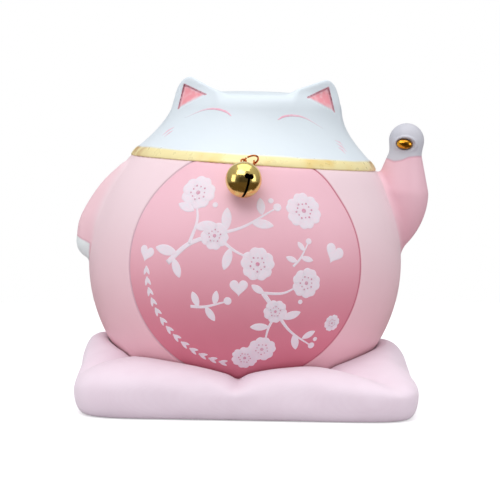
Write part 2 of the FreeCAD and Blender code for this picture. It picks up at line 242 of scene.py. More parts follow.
def even_out(field, points, quads):
    """Relax a skin along its surface so that its quads are even."""
    for _ in range(3):
        total = np.zeros_like(points)
        count = np.zeros(len(points))
        for a, b in ((0, 1), (1, 0), (1, 2), (2, 1), (2, 3), (3, 2), (3, 0), (0, 3)):
            np.add.at(total, quads[:, a], points[quads[:, b]])
            np.add.at(count, quads[:, a], 1)
        points = settle(field, points + 0.5 * (total / count[:, None] - points), 1)
    return settle(field, points, 2)


# ---------------------------------------------------------------- meshes

def add_mesh(name, points, faces, material, normals=None, attributes=None):
    """A smooth mesh object from row-frame points in metres."""
    mesh = bpy.data.meshes.new(name)
    mesh.from_pydata([tuple(p) for p in points], [], [tuple(int(i) for i in f) for f in faces])
    mesh.polygons.foreach_set("use_smooth", [True] * len(mesh.polygons))
    mesh.update()
    for key, values in (attributes or {}).items():
        attribute = mesh.attributes.new(key, "FLOAT", "POINT")
        attribute.data.foreach_set("value", np.asarray(values, np.float32))
    if normals is not None:
        mesh.normals_split_custom_set_from_vertices([tuple(n) for n in normals])
    mesh.materials.append(material)
    piece = bpy.data.objects.new(name, mesh)
    bpy.context.scene.collection.objects.link(piece)
    return piece


def join_piece(piece, body, slot, *replaced):
    """Let a piece ride on its CAD body and stand for its CAD nodes."""
    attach(piece, body)
    if replaced:
        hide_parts(*replaced)
    return piece


def skinned(name, field, low, high, step, material, paint=None):
    """A piece from a field, with the field's own normals and painted distances."""
    points, quads = skin(field, low, high, step)
    points = even_out(field, points, quads)
    normals = to_row(unit(slopes(field, points))) - to_row(np.zeros(3))
    attributes = {key: rule(points) for key, rule in (paint or {}).items()}
    return add_mesh(name, to_row(points), quads, material, normals, attributes)


def ring_faces(rows, sides):
    """Quads between rings of points."""
    return [[row * sides + s, row * sides + (s + 1) % sides,
             (row + 1) * sides + (s + 1) % sides, (row + 1) * sides + s]
            for row in range(rows - 1) for s in range(sides)]


def tube_faces(rows, sides):
    """Rings of points with a flat face over each end."""
    first, last = list(range(sides)), [(rows - 1) * sides + s for s in range(sides)]
    return ring_faces(rows, sides) + [first[::-1], last]


def ball_faces(rows, sides):
    """Rings of points closed by two more points, the first ring's and then the last ring's."""
    start, end, last = rows * sides, rows * sides + 1, (rows - 1) * sides
    faces = ring_faces(rows, sides)
    faces += [[start, (s + 1) % sides, s] for s in range(sides)]
    faces += [[end, last + s, last + (s + 1) % sides] for s in range(sides)]
    return [face[::-1] for face in faces]


def lathe(profile, sides, closed=True):
    """Points and quads of a profile of (radius, height) turned about z."""
    angles = full_turn(sides)
    radius, height = np.asarray(profile, float).T[..., None]
    points = np.stack([radius * np.sin(angles), -radius * np.cos(angles), height + 0 * angles], -1)
    faces = ring_faces(len(profile), sides)
    if closed:
        last = (len(profile) - 1) * sides
        faces += [[last + s, last + (s + 1) % sides, (s + 1) % sides, s] for s in range(sides)]
    return points.reshape(-1, 3), faces


def curve_points(anchors, count):
    """A smooth open curve through the anchors (Catmull-Rom), evenly sampled by anchor."""
    anchors = np.asarray(anchors, float)
    padded = np.vstack([2 * anchors[0] - anchors[1], anchors, 2 * anchors[-1] - anchors[-2]])
    samples = []
    for place in np.linspace(0, len(anchors) - 1, count):
        index = min(int(place), len(anchors) - 2)
        t = place - index
        a, b, c, d = padded[index:index + 4]
        samples.append(0.5 * (2 * b + (c - a) * t + (2 * a - 5 * b + 4 * c - d) * t ** 2
                              + (3 * b - a - 3 * c + d) * t ** 3))
    return np.array(samples)


def brush_line(anchors, widths, section, count):
    """Flat points and heights of a brush line: a row of (offset, height) section points at each place."""
    path = curve_points(anchors, count)
    width = np.interp(np.linspace(0, 1, count), np.linspace(0, 1, len(widths)), widths)
    along = unit(np.gradient(path, axis=0))
    across = np.stack([-along[:, 1], along[:, 0]], -1) * width[:, None]
    offsets, heights = np.array(section).T
    flat = path[:, None] + across[:, None] * offsets[:, None]
    return flat.reshape(-1, 2), np.tile(heights, count)


# ---------------------------------------------------------------- materials

def new_material(name, **inputs):
    """A material with one Principled shader; uniform numbers are set on its own sockets."""
    material = bpy.data.materials.new(name)
    material.use_nodes = True
    shader = material.node_tree.nodes["Principled BSDF"]
    for key, value in inputs.items():
        shader.inputs[key.replace("_", " ")].default_value = value
    return material, material.node_tree, shader


def add_node(tree, kind, inputs=(), **settings):
    node = tree.nodes.new("ShaderNode" + kind)
    for key, value in settings.items():
        setattr(node, key, value)
    for key, value in dict(inputs).items():
        plug(tree, value, node.inputs[key])
    return node


def plug(tree, value, socket):
    """Link a node's output to a socket, or set the socket to a plain value."""
    if isinstance(value, bpy.types.NodeSocket):
        tree.links.new(value, socket)
    else:
        socket.default_value = value


def finish_shader(tree, shader, base, gloss=None):
    plug(tree, base, shader.inputs["Base Color"])
    if gloss:
        plug(tree, gloss, shader.inputs["Roughness"])


def colour(red, green, blue):
    """Screen colour from 0 to 255 as a linear colour."""
    def linear(value):
        value = value / 255
        return value / 12.92 if value <= 0.04045 else ((value + 0.055) / 1.055) ** 2.4
    return (linear(red), linear(green), linear(blue), 1.0)


def place_coordinates(tree):
    """Row-frame coordinates of the surface, in metres, which move with the piece."""
    return add_node(tree, "TexCoord").outputs["Object"]


def one_axis(tree, vector, axis):
    return add_node(tree, "SeparateXYZ", {"Vector": vector}).outputs[axis]


def noise(tree, size, detail=3.0):
    """Noise whose patches are about this many millimetres across, from 0 to 1."""
    return add_node(tree, "TexNoise", {"Vector": place_coordinates(tree), "Scale": 1 / (size * MM),
                                       "Detail": detail, "Roughness": 0.5}).outputs["Fac"]


def ramp(tree, value, low, high, to_low=0.0, to_high=1.0, smooth=True):
    inputs = {"Value": value, "From Min": low, "From Max": high, "To Min": to_low, "To Max": to_high}
    return add_node(tree, "MapRange", inputs,
                    interpolation_type="SMOOTHSTEP" if smooth else "LINEAR").outputs["Result"]


def mix(tree, share, first, second, blend="MIX"):
    """A blend of two colours; the node keeps its colours in inputs 6 and 7 and output 2."""
    inputs = {0: share, 6: first, 7: second}
    return add_node(tree, "Mix", inputs, data_type="RGBA", blend_type=blend).outputs[2]


def math_node(tree, operation, first, second=0.0):
    return add_node(tree, "Math", {0: first, 1: second}, operation=operation).outputs[0]


def times(tree, first, second):
    return math_node(tree, "MULTIPLY", first, second)


def line_along(tree, edge, inner, outer, strength):
    """A soft line either side of a painted edge."""
    return ramp(tree, math_node(tree, "ABSOLUTE", edge), inner, outer, strength, 0)


def painted(tree, key):
    """A distance that the mesh carries for each point, in millimetres."""
    return add_node(tree, "Attribute", attribute_name=key).outputs["Fac"]


def bump(tree, shader, height, depth):
    """Bump from a height of 0 to 1, depth in millimetres."""
    node = add_node(tree, "Bump", {"Height": height, "Distance": depth * MM, "Strength": 1.0})
    tree.links.new(node.outputs["Normal"], shader.inputs["Normal"])


def glaze_surface(tree, shader, base, speckle=0.03):
    """What all glazed pieces share: cloudy colour, specks, uneven gloss and a faint ripple."""
    cloud = times(tree, ramp(tree, noise(tree, 18.0), 0.3, 0.7), speckle * 2)
    shaded = mix(tree, cloud, base, (0.80, 0.62, 0.66, 1), "MULTIPLY")
    specks = times(tree, ramp(tree, noise(tree, 0.9, 2.0), 0.70, 0.78), speckle * 3)
    specked = mix(tree, specks, shaded, (0.72, 0.50, 0.52, 1), "MULTIPLY")
    finish_shader(tree, shader, specked, ramp(tree, noise(tree, 6.0), 0.25, 0.75, 0.37, 0.49))
    ripple = math_node(tree, "ADD", times(tree, noise(tree, 5.0, 1.0), 0.8),
                       times(tree, noise(tree, 0.5, 2.0), 0.2))
    bump(tree, shader, ripple, 0.09)


PINK = colour(243, 217, 223)
PINK_LOW = colour(240, 192, 201)
ROSE = colour(243, 194, 206)
ROSE_LOW = colour(216, 124, 143)
WHITE = colour(224, 233, 239)
# the raised paw's white, greyed as painted shade; the resting paw has the glaze's own white
RAISED_PAW_SHADED_WHITE = colour(204, 203, 211)
SOLE_WHITE = colour(234, 240, 240)
MOTIF = colour(240, 222, 232)
MOTIF_EYE = colour(214, 140, 165)
STROKE = colour(240, 168, 190)
EAR_PINK = colour(246, 160, 170)
EAR_PALE = colour(250, 206, 212)
EAR_EDGE_SHADE = colour(206, 92, 116)
PAW_EDGE = colour(214, 140, 160)
# painted shade in the panel's groove: pale on the left, deep rose on the right
GROOVE_SHADE_LEFT = colour(206, 168, 182)
GROOVE_SHADE_RIGHT = colour(196, 76, 108)
GLAZE_SHINE = 0.35
THREAD = 0.42


def deeper_towards_foot(tree, upper, lower, low=22, high=80):
    """Colour that deepens towards the foot; heights in millimetres."""
    height = one_axis(tree, place_coordinates(tree), "Z")
    return mix(tree, ramp(tree, height, low * MM, high * MM), lower, upper)


def body_material():
    """Pale pink glaze with a rose panel inside the groove, and painted shade along the groove, deeper on
    the right.
    """
    material, tree, shader = new_material("pink_glaze", Specular_IOR_Level=GLAZE_SHINE)
    inside = ramp(tree, painted(tree, "panel"), -0.12, 0.12, 1, 0)
    base = mix(tree, inside, deeper_towards_foot(tree, PINK, PINK_LOW), deeper_towards_foot(tree, ROSE, ROSE_LOW))
    # painted shade along the groove, darker towards the right side
    across = one_axis(tree, place_coordinates(tree), "X")
    groove_shade = mix(tree, ramp(tree, across, -20 * MM, 20 * MM), GROOVE_SHADE_LEFT, GROOVE_SHADE_RIGHT)
    base = mix(tree, line_along(tree, painted(tree, "panel"), 0.15, 0.55, 0.75), base, groove_shade)
    glaze_surface(tree, shader, base)
    return material


def arm_material(name, upper, lower, paw):
    """Pink glaze that ends at a white paw and runs into the body's pink at the shoulder."""
    material, tree, shader = new_material(name, Specular_IOR_Level=GLAZE_SHINE)
    wobble = times(tree, math_node(tree, "SUBTRACT", noise(tree, 3.0), 0.5), 0.7)
    edge = math_node(tree, "ADD", painted(tree, "paw"), wobble)
    root = ramp(tree, painted(tree, "root"), 0.3, 3.5)
    pink = mix(tree, root, deeper_towards_foot(tree, upper, lower, 55, 90), deeper_towards_foot(tree, PINK, PINK_LOW))
    base = mix(tree, ramp(tree, edge, -0.25, 0.25, 1, 0), pink, paw)
    base = mix(tree, line_along(tree, edge, 0.0, 0.7, 0.5), base, PAW_EDGE)
    glaze_surface(tree, shader, base)
    return material


def head_material():
    """White glaze with pink inside the ears and painted shade along the upper edges of their hollows."""
    material, tree, shader = new_material("white_glaze", Specular_IOR_Level=GLAZE_SHINE)
    washed = mix(tree, ramp(tree, noise(tree, 3.0, 1.0), 0.42, 0.72, 0, 0.7), EAR_PINK, EAR_PALE)
    base = mix(tree, ramp(tree, painted(tree, "ear"), -0.9, 0.15, 1, 0), WHITE, washed)
    # painted shade: a deep rose line under the upper and outer edges of each ear's hollow
    base = mix(tree, line_along(tree, painted(tree, "ear_edge_shade"), 0.15, 0.6, 0.7), base, EAR_EDGE_SHADE)
    glaze_surface(tree, shader, base, speckle=0.015)
    return material


def paint_material(name, base, second=None):
    """Thin on-glaze paint, a little patchy, that may fade to a second colour along a stroke."""
    material, tree, shader = new_material(name, Specular_IOR_Level=0.4)
    shade = mix(tree, ramp(tree, noise(tree, 1.2), 0.3, 0.75, 0.0, 0.35), base, second or WHITE)
    if second is not None:
        shade = mix(tree, painted(tree, "fade"), shade, second)
    finish_shader(tree, shader, shade, ramp(tree, noise(tree, 0.8), 0.3, 0.7, 0.36, 0.5))
    bump(tree, shader, noise(tree, 0.4), 0.02)
    return material


def gilt_material():
    """Pale gold paint on the collar: creamy where it is thin, amber where it pools, with brown patches at
    its left and right ends as painted dark reflection.
    """
    material, tree, shader = new_material("gold_paint", Specular_IOR_Level=0.5, Metallic=0.08)
    amber = ramp(tree, noise(tree, 14.0, 2.0), 0.50, 0.74)
    base = mix(tree, amber, colour(246, 231, 172), colour(236, 202, 116))
    # painted dark reflection: brown patches where the band turns away at its left and right ends
    side = ramp(tree, painted(tree, "side"), 0.80, 1.0)
    side_reflection = times(tree, side, ramp(tree, noise(tree, 7.0), 0.35, 0.70))
    base = mix(tree, side_reflection, base, colour(200, 152, 86))
    base = mix(tree, ramp(tree, painted(tree, "rim"), 0.0, 0.8, 0.9, 0), base, WHITE)
    finish_shader(tree, shader, base, ramp(tree, noise(tree, 3.0), 0.3, 0.7, 0.26, 0.42))
    bump(tree, shader, noise(tree, 2.5, 1.0), 0.02)
    return material


def plated_material(name, base, tint, roughness=0.12):
    """Bright plate with rubbed patches, uneven gloss and a faint mottled bump."""
    material, tree, shader = new_material(name, Metallic=1.0)
    worn = ramp(tree, noise(tree, 2.2), 0.45, 0.75, 0, 0.5)
    gloss = ramp(tree, noise(tree, 0.7), 0.3, 0.8, roughness - 0.04, roughness + 0.08)
    finish_shader(tree, shader, mix(tree, worn, base, tint), gloss)
    bump(tree, shader, noise(tree, 0.8), 0.012)
    return material


def bell_material(base, tint):
    """Bright plate outside; the inside of the shell is painted dark brown as shade."""
    material = plated_material("bell_plate", base, tint, 0.17)
    tree = material.node_tree
    socket = tree.nodes["Principled BSDF"].inputs["Base Color"]
    away = add_node(tree, "VectorMath", {0: place_coordinates(tree), 1: tuple(BELL_MIDDLE * MM)},
                    operation="DISTANCE").outputs["Value"]
    # painted shade: the inside of the shell is drawn dark brown
    inside = ramp(tree, away, (BELL_RADIUS - 0.4) * MM, (BELL_RADIUS - 0.3) * MM, 1, 0, smooth=False)
    plug(tree, mix(tree, inside, socket.links[0].from_socket, colour(60, 34, 16)), socket)
    return material


def cloth_material(name, base, deep):
    """Fine plain weave with sheen, slubs and painted shade in the folds."""
    material, tree, shader = new_material(name, Roughness=0.85, Sheen_Weight=0.35, Sheen_Roughness=0.4,
                                          Specular_IOR_Level=0.2)
    waves = {"Vector": place_coordinates(tree), "Scale": 1 / (THREAD * MM * math.pi), "Distortion": 0.6,
             "Detail": 1.0, "Detail Scale": 2.0}
    threads = [add_node(tree, "TexWave", waves, wave_type="BANDS", bands_direction=axis).outputs["Fac"]
               for axis in "XYZ"]
    weave = times(tree, math_node(tree, "ADD", threads[0], threads[1]),
                  math_node(tree, "ADD", threads[2], 0.6))
    slub = ramp(tree, noise(tree, 9.0, 1.0), 0.35, 0.75, 0, 0.12)
    # painted shade along the cushion's creases
    fold_shade = ramp(tree, painted(tree, "fold_shade"), 0.0, 1.0, 0, 0.6)
    shade = base
    for share in (slub, times(tree, weave, 0.04), fold_shade):
        shade = mix(tree, share, shade, deep)
    finish_shader(tree, shader, shade)
    bump(tree, shader, math_node(tree, "ADD", times(tree, weave, 0.3), noise(tree, 2.0)), 0.015)
    return material


def floor_material():
    """Matt paper, lit from below so that it shows as white; the shiny pieces see it dark."""
    material, tree, shader = new_material("studio_floor", Roughness=0.9, Specular_IOR_Level=0.1)
    grain = ramp(tree, noise(tree, 40.0), 0.3, 0.7, 0, 0.03)
    finish_shader(tree, shader, mix(tree, grain, (0.66, 0.65, 0.66, 1), (0.63, 0.62, 0.63, 1)))
    glow = add_node(tree, "Emission", {"Color": (1, 1, 1, 1), "Strength": 0.55})
    lit = add_node(tree, "AddShader", {0: shader.outputs[0], 1: glow.outputs[0]})
    dim = add_node(tree, "BsdfDiffuse", {"Color": (0.10, 0.07, 0.04, 1)})
    seen = by_ray(tree, "Is Glossy Ray", shader, dim)
    seen = by_ray(tree, "Is Camera Ray", seen, lit)
    plug(tree, seen.outputs[0], tree.nodes["Material Output"].inputs["Surface"])
    return material


def by_ray(tree, kind, otherwise, chosen):
    """One shader for rays of a kind and another for all other rays."""
    share = add_node(tree, "LightPath").outputs[kind]
    return add_node(tree, "MixShader", {0: share, 1: otherwise.outputs[0], 2: chosen.outputs[0]})


# ---------------------------------------------------------------- the round body

# the panel is a round cap of the ball in front, edged by a fine groove
PANEL_ANGLE = math.radians(44.8)
PANEL_AXIS = direction(0, 1.7)
PANEL_UP = np.cross(PANEL_AXIS, X)
GROOVE_WIDTH = 0.42
GROOVE_DEPTH = 0.38
# the tail is a small egg at the back
TAIL_AT = np.array([0.0, 53.0, -18.0])
TAIL_HALF = np.array([7.0, 8.0, 9.0])
# the foot's edge and the vent in it, and the spacing of the rings of points
FOOT_ROUNDING = 2.5
VENT_RADIUS = 5.0
VENT_DEPTH = 9.0
VENT_FLARE = 1.0
RING_STEP = 1.1


def tail_field(points):
    share = length((points - TAIL_AT) / TAIL_HALF)
    return (share - 1) * TAIL_HALF.min()


def panel_rays(angle, around):
    """Unit rays at an angle from the panel's axis, turned round it from the right over the top."""
    aside = np.multiply.outer(np.cos(around), X) + np.multiply.outer(np.sin(around), PANEL_UP)
    return np.cos(angle)[..., None] * PANEL_AXIS + np.sin(angle)[..., None] * aside


def body_reach(rays, angle):
    """How far the glazed surface lies from the middle along each ray."""
    reach = np.full(len(rays), RADIUS)
    near_tail = rays @ unit(TAIL_AT) > 0.9
    far = rays[near_tail] * RADIUS
    for _ in range(12):
        joined = round_join(length(far) - RADIUS, tail_field(far), 3.0)
        far = far - rays[near_tail] * np.clip(joined, -2, 2)[:, None]
    reach[near_tail] = length(far)
    reach = soft_min(reach, FOOT_DROP / np.maximum(-rays[:, 2], 1e-3), FOOT_ROUNDING)
    reach = soft_min(reach, NECK_HEIGHT / np.maximum(rays[:, 2], 1e-3), 0.4)
    return reach - GROOVE_DEPTH * np.exp(-((angle - PANEL_ANGLE) * RADIUS / GROOVE_WIDTH) ** 2)


def make_body(material):
    """Rings round the middle of the panel, close together at the groove."""
    fine = np.linspace(-1.6, 1.6, 25) / RADIUS + PANEL_ANGLE
    step = RING_STEP / RADIUS
    before = np.linspace(step, fine[0], int(fine[0] / step), endpoint=False)
    after = np.linspace(fine[-1], math.pi, int((math.pi - fine[-1]) / step), endpoint=False)[1:]
    rings = np.concatenate([before, fine, after])
    sides = 300
    angle, around = np.meshgrid(rings, full_turn(sides), indexing="ij")
    rays = np.vstack([panel_rays(angle.ravel(), around.ravel()), PANEL_AXIS, -PANEL_AXIS])
    angle = np.append(angle, [0, math.pi])
    body = add_mesh("body_glaze", to_row(rays * body_reach(rays, angle)[:, None]),
                    ball_faces(len(rings), sides), material,
                    attributes={"panel": (angle - PANEL_ANGLE) * RADIUS})
    bore_vent(body)
    return join_piece(body, "figure", "pink_glaze", "body_casting")


def bore_vent(body):
    """The round vent in the foot, with a flared mouth."""
    flare = [(VENT_RADIUS + VENT_FLARE * (1 - math.sin(t)), VENT_FLARE * (1 - math.cos(t)))
             for t in np.linspace(0, math.pi / 2, 5)]
    mouth = [(0.01, -2), (VENT_RADIUS + VENT_FLARE, -2)]
    profile = mouth + flare + [(VENT_RADIUS, VENT_DEPTH), (0.01, VENT_DEPTH)]
    points, faces = lathe(profile, 48)
    tool = add_mesh("vent_tool", to_row(points - FOOT_DROP * Z), faces, body.data.materials[0])
    fix_normals(tool)
    cut = body.modifiers.new("vent", "BOOLEAN")
    cut.operation = "DIFFERENCE"
    cut.object = tool
    cut.solver = "EXACT"
    apply_modifiers(body)
    bpy.data.objects.remove(tool)


def fix_normals(piece):
    work = bmesh.new()
    work.from_mesh(piece.data)
    bmesh.ops.remove_doubles(work, verts=work.verts, dist=1e-7)
    bmesh.ops.recalc_face_normals(work, faces=work.faces)
    work.to_mesh(piece.data)
    work.free()


def apply_modifiers(piece):
    """Keep the shape that the modifiers give and drop them."""
    shown = piece.evaluated_get(bpy.context.evaluated_depsgraph_get())
    mesh = bpy.data.meshes.new_from_object(shown)
    mesh.name = piece.name
    piece.modifiers.clear()
    piece.data = mesh


# ---------------------------------------------------------------- head and ears

FACE_MIDDLE = -1.2
CROWN_HEIGHT = 65.6
CROWN_ROUNDING = 5.0
HEAD_TOP_RADIUS = 31.8
HEAD_FLARE = 10.5
HEAD_WIDEST = 44.6
# the ears stand level with each other: their numbers are level millimetres from the head's middle
EARS_MIDDLE = 4.3
EAR_LIFT = -0.6
EAR_TIP = np.array([30.1, -13.2, 73.4])
EAR_OUTER_EDGE = np.array([0.14, 0.10, -0.99])
EAR_INNER_EDGE = np.array([-0.91, -0.75, -0.41])
EAR_BACK_EDGE = np.array([-0.35, 0.80, -0.70])
EAR_ROUNDING = 2.0
TIP_ROUNDING = 7.4
EAR_CENTRE = np.array([25.5, -12.0, 60.0])
EAR_REACH = 18.5
# the pink hollow of the ear in the front view, and how far behind the ear's face it may reach
HOLLOW_DEEPEST = 3.0
HOLLOW_TOP = np.array([27.1, 67.2])
HOLLOW_INNER = np.array([18.9, 63.3])
HOLLOW_LOW = np.array([29.3, 58.1])


def head_radius(height):
    """The flared side of the head, widest at the collar."""
    flare = HEAD_FLARE * (np.maximum(63 - height, 0) / 20) ** 1.9
    return np.minimum(HEAD_TOP_RADIUS + flare, HEAD_WIDEST)


def ear_local(points, side):
    """Level points seen from one ear, as if both were the right one."""
    moved = upright(points)
    moved[..., 0] = side * (moved[..., 0] - EARS_MIDDLE)
    moved[..., 2] -= side * EAR_LIFT
    return moved


def plane(points, first, second):
    """Distance from the plane through the ear's tip that holds two edges."""
    return (points - EAR_TIP) @ unit(np.cross(first, second))


def before_line(local, start, end):
    """In the front view, distance to the right of the line from start to end."""
    along = unit(end - start)
    return (local[..., 0] - start[0]) * along[1] - (local[..., 2] - start[1]) * along[0]


def hollow_edges(local):
    """Distances outside the hollow's outer, upper and lower edges in the front view, and behind it."""
    corners = (HOLLOW_LOW, HOLLOW_TOP, HOLLOW_INNER, HOLLOW_LOW)
    edges = [before_line(local, start, end) for start, end in zip(corners, corners[1:])]
    return (*edges, -HOLLOW_DEEPEST - plane(local, EAR_INNER_EDGE, EAR_OUTER_EDGE))


def ear_field(points, side):
    """A three-sided pyramid with a round tip, leaning with the figure."""
    local = ear_local(points, side)
    across, high = local[:, 0] - EAR_CENTRE[0], local[:, 2] - EAR_CENTRE[2]
    local[:, 0] += across * (math.cos(LEAN) - 1) - side * high * math.sin(LEAN)
    local[:, 2] += high * (math.cos(LEAN) - 1) + side * across * math.sin(LEAN)
    front = plane(local, EAR_INNER_EDGE, EAR_OUTER_EDGE)
    outer = plane(local, EAR_OUTER_EDGE, EAR_BACK_EDGE)
    back = plane(local, EAR_BACK_EDGE, EAR_INNER_EDGE)
    ear = round_meet(round_meet(outer, back, TIP_ROUNDING), front, EAR_ROUNDING)
    return soft_max(ear, length(local - EAR_CENTRE) - EAR_REACH, 2.0)


def ear_paint(points):
    """Distance outside the nearer ear's pink hollow."""
    return np.minimum(*[np.maximum.reduce(hollow_edges(ear_local(points, side))) for side in (-1, 1)])


def ear_rim(points):
    """Distance from the nearer line along the two upper edges of a hollow, where painted shade darkens the
    ear.
    """
    found = []
    for side in (-1, 1):
        outer, inner, lower, behind = hollow_edges(ear_local(points, side))
        edge = np.abs(np.maximum(outer, inner) + 0.1)
        found.append(np.where((lower < 0.3) & (behind < 0), edge, 9.0))
    return np.minimum(*found)


def head_outside(points):
    """Flared dome and two ears, before the hollows are pressed in."""
    ring = np.hypot(points[:, 0], points[:, 1])
    side = (ring - head_radius(points[:, 2])) * 0.9
    crown = points[:, 2] - (CROWN_HEIGHT + 0.06 * points[:, 0] - ring ** 2 / 500)
    dome = soft_max(side, crown, CROWN_ROUNDING)
    for ear_side in (-1, 1):
        dome = soft_min(dome, ear_field(points, ear_side), 3.0)
    return dome


def head_field(points):
    solid = head_outside(points)
    for side in (-1, 1):
        outer, inner, lower, behind = hollow_edges(ear_local(points, side))
        depth = 0.1 + 0.10 * np.clip(-lower, 0, 9)
        hollow = np.maximum.reduce([soft_max(outer, inner, 0.5), lower - 0.2, behind, -solid - depth])
        solid = soft_max(solid, -hollow, 0.25)
    return np.maximum(solid, NECK_HEIGHT + 0.2 - points[:, 2])


def make_head(material):
    head = skinned("head_glaze", head_field, (-46, -46, 36.5), (46, 46, 76), 0.55, material,
                   {"ear": ear_paint, "ear_edge_shade": ear_rim})
    return join_piece(head, "figure", "white_glaze", "head_casting")


def on_head(flat):
    """Points (x, z) of the front view moved back onto the front of the head."""
    flat = np.asarray(flat, float)
    points = np.stack([flat[:, 0], -np.sqrt(np.maximum(46.0 ** 2 - flat[:, 0] ** 2, 1)), flat[:, 1]], -1)
    for _ in range(60):
        points[:, 1] += np.clip(head_outside(points), -1, 1) * 0.8
    return points


STROKE_SECTION = [(-0.55, -0.12), (-0.5, 0.0), (-0.3, 0.045), (0.0, 0.05), (0.3, 0.045), (0.5, 0.0),
                  (0.55, -0.12)]


def stroke(name, anchors, widths, fade_ends, material):
    """A painted line on the head: a thin strip, fat in the middle, with faded ends."""
    count = 60
    flat, heights = brush_line(anchors, widths, STROKE_SECTION, count)
    base = settle(head_outside, on_head(flat), 2)
    points = base + unit(slopes(head_outside, base)) * heights[:, None]
    fade = np.interp(np.linspace(0, 1, count), np.linspace(0, 1, len(fade_ends)), fade_ends)
    sides = len(STROKE_SECTION)
    piece = add_mesh(name, to_row(points), tube_faces(count, sides), material,
                     attributes={"fade": np.repeat(fade, sides)})
    fix_normals(piece)
    return join_piece(piece, "figure", "white_glaze")


def make_face(material):
    """Two closed eyes and the small strokes on the cheeks."""
    eye = [(8.6, 55.0), (10.8, 56.5), (14.6, 57.2), (19.2, 56.4), (26.0, 52.9)]
    for label, side in (("left", -1), ("right", 1)):
        anchors = [(FACE_MIDDLE + side * u, z) for u, z in eye]
        stroke(f"eye_{label}", anchors, [0.35, 0.85, 0.8, 0.55, 0.2], [0.1, 0.0, 0.1, 0.45, 0.95], material)
    cheeks = {"cheek_left_top": [(-35.2, 45.4), (-33.0, 47.5), (-30.6, 49.2)],
              "cheek_left_low": [(-34.2, 45.1), (-32.6, 46.6), (-31.0, 47.8)],
              "cheek_right_top": [(29.4, 48.5), (31.2, 47.7), (32.9, 46.3)],
              "cheek_right_middle": [(29.9, 47.3), (32.3, 45.9), (34.3, 43.9)],
              "cheek_right_low": [(30.9, 45.7), (32.4, 44.7), (33.9, 43.2)]}
    for name, anchors in cheeks.items():
        stroke(name, anchors, [0.2, 0.5, 0.2], [0.75, 0.4, 0.3, 0.4, 0.75], material)


# ---------------------------------------------------------------- collar

def make_collar(material):
    """Soft band, thin where its paint runs out on the head."""
    outline = [(43.6, 37.4), (46.6, 37.2), (47.15, 37.45), (47.0, 38.1), (46.5, 39.0), (45.8, 39.9),
               (45.1, 40.6), (44.5, 41.0), (43.8, 41.2), (42.4, 41.0)]
    points, faces = lathe(curve_points(outline, 40), 360)
    angles = np.arctan2(points[:, 0], -points[:, 1])
    ripple = 0.09 * np.sin(5 * angles + 0.6) + 0.06 * np.sin(11 * angles) + 0.03 * np.sin(23 * angles + 1)
    rim = np.where(points[:, 2] > 39.5, 41.1 - points[:, 2], 2.0)
    points[:, 2] += ripple * smoothstep(38.5, 41, points[:, 2])
    collar = add_mesh("collar_gilt", to_row(points), faces, material,
                      attributes={"side": np.abs(np.sin(angles)), "rim": rim})
    fix_normals(collar)
    return join_piece(collar, "figure", "gold_paint", "collar_band")


# ---------------------------------------------------------------- arms

# the raised arm: a quarter bend at the elbow, a forearm straight up and a round paw
ARM_BEHIND = 4.5
ELBOW_BEND = 18.9
ELBOW_RADIUS = 10.3
ELBOW_HEIGHT = 30.6
WRIST_DROP = 5.5
WRIST_RADIUS = 6.1
PAW_AT = np.array([58.2, ARM_BEHIND, 51.7])
PAW_RADIUS = 6.75
# the bead in the paw, and half the size of the lip round its dish
BEAD_AT = np.array([57.0, ARM_BEHIND - PAW_RADIUS + 0.45, 50.3])
BEAD_HALF = np.array([3.0, 1.6, 1.85])
LIP_HALF = np.array([4.1, 3.0])
# fillet between arm and body, and how far the arm's skin reaches into the body
ARM_FILLET = 3.2
SHELL = 1.2
# the resting arm's balls from shoulder to paw: azimuth, elevation, distance from the middle, radius
REST_ROUTE = [(-78, 31.0, 57.5, 2.6), (-82, 22.0, 57.5, 5.6), (-85, 10.5, 57.9, 7.6),
              (-86, 3.0, 58.4, 6.9)]
REST_BALLS = 13
REST_FILLET_PAW = 1.6
REST_FILLET_SHOULDER = 5.0


def on_body(limb, points, fillet):
    """A limb's field, filleted onto the body and thin where it runs out."""
    away = length(points)
    joined = round_join(limb, away - (RADIUS - TUCK), fillet)
    return np.maximum.reduce([joined, RADIUS - SHELL - away, limb - fillet - 1.0])


def raised_limb(points):
    """Bent elbow, forearm and paw, without the body."""
    elbow_at = np.array([PAW_AT[0] - ELBOW_BEND, ARM_BEHIND, ELBOW_HEIGHT])
    flat = points - elbow_at
    angle = np.clip(np.arctan2(flat[:, 2], flat[:, 0]), -math.radians(85), 0)
    on_arc = np.outer(np.cos(angle), X) + np.outer(np.sin(angle), Z)
    elbow = length(flat - on_arc * ELBOW_BEND) - ELBOW_RADIUS
    forearm = round_cone(points, elbow_at + ELBOW_BEND * X, PAW_AT - WRIST_DROP * Z,
                         ELBOW_RADIUS, WRIST_RADIUS)
    paw = length((points - PAW_AT) * [1, 1.02, 1]) - PAW_RADIUS
    return soft_min(np.minimum(elbow, forearm), paw, 2.2)


def raised_field(points):
    """The arm with a dish for the bead pressed into the paw, and a low lip round the dish."""
    arm = on_body(raised_limb(points), points, ARM_FILLET)
    dish = (length((points - BEAD_AT) / (BEAD_HALF + [0.3, 0.9, 0.3])) - 1) * 2.2
    across, high = ((points - BEAD_AT)[:, [0, 2]] - [0.5, -0.1]).T / LIP_HALF[:, None]
    flat = (np.hypot(across, high) - 1) * LIP_HALF.mean()
    surface = length(points - PAW_AT) - PAW_RADIUS
    lip = np.hypot(flat, surface - 0.15) - 0.55
    arm = np.where(points[:, 1] < ARM_BEHIND - 2, soft_min(arm, lip, 0.5), arm)
    return soft_max(arm, -dish, 0.35)


def raised_paw_edge(points):
    """Height below which the glaze turns pink; it climbs a little towards the outside."""
    edge = 44.6 + 1.5 * np.tanh((points[:, 0] - 57.5) / 3.5)
    return edge - points[:, 2]


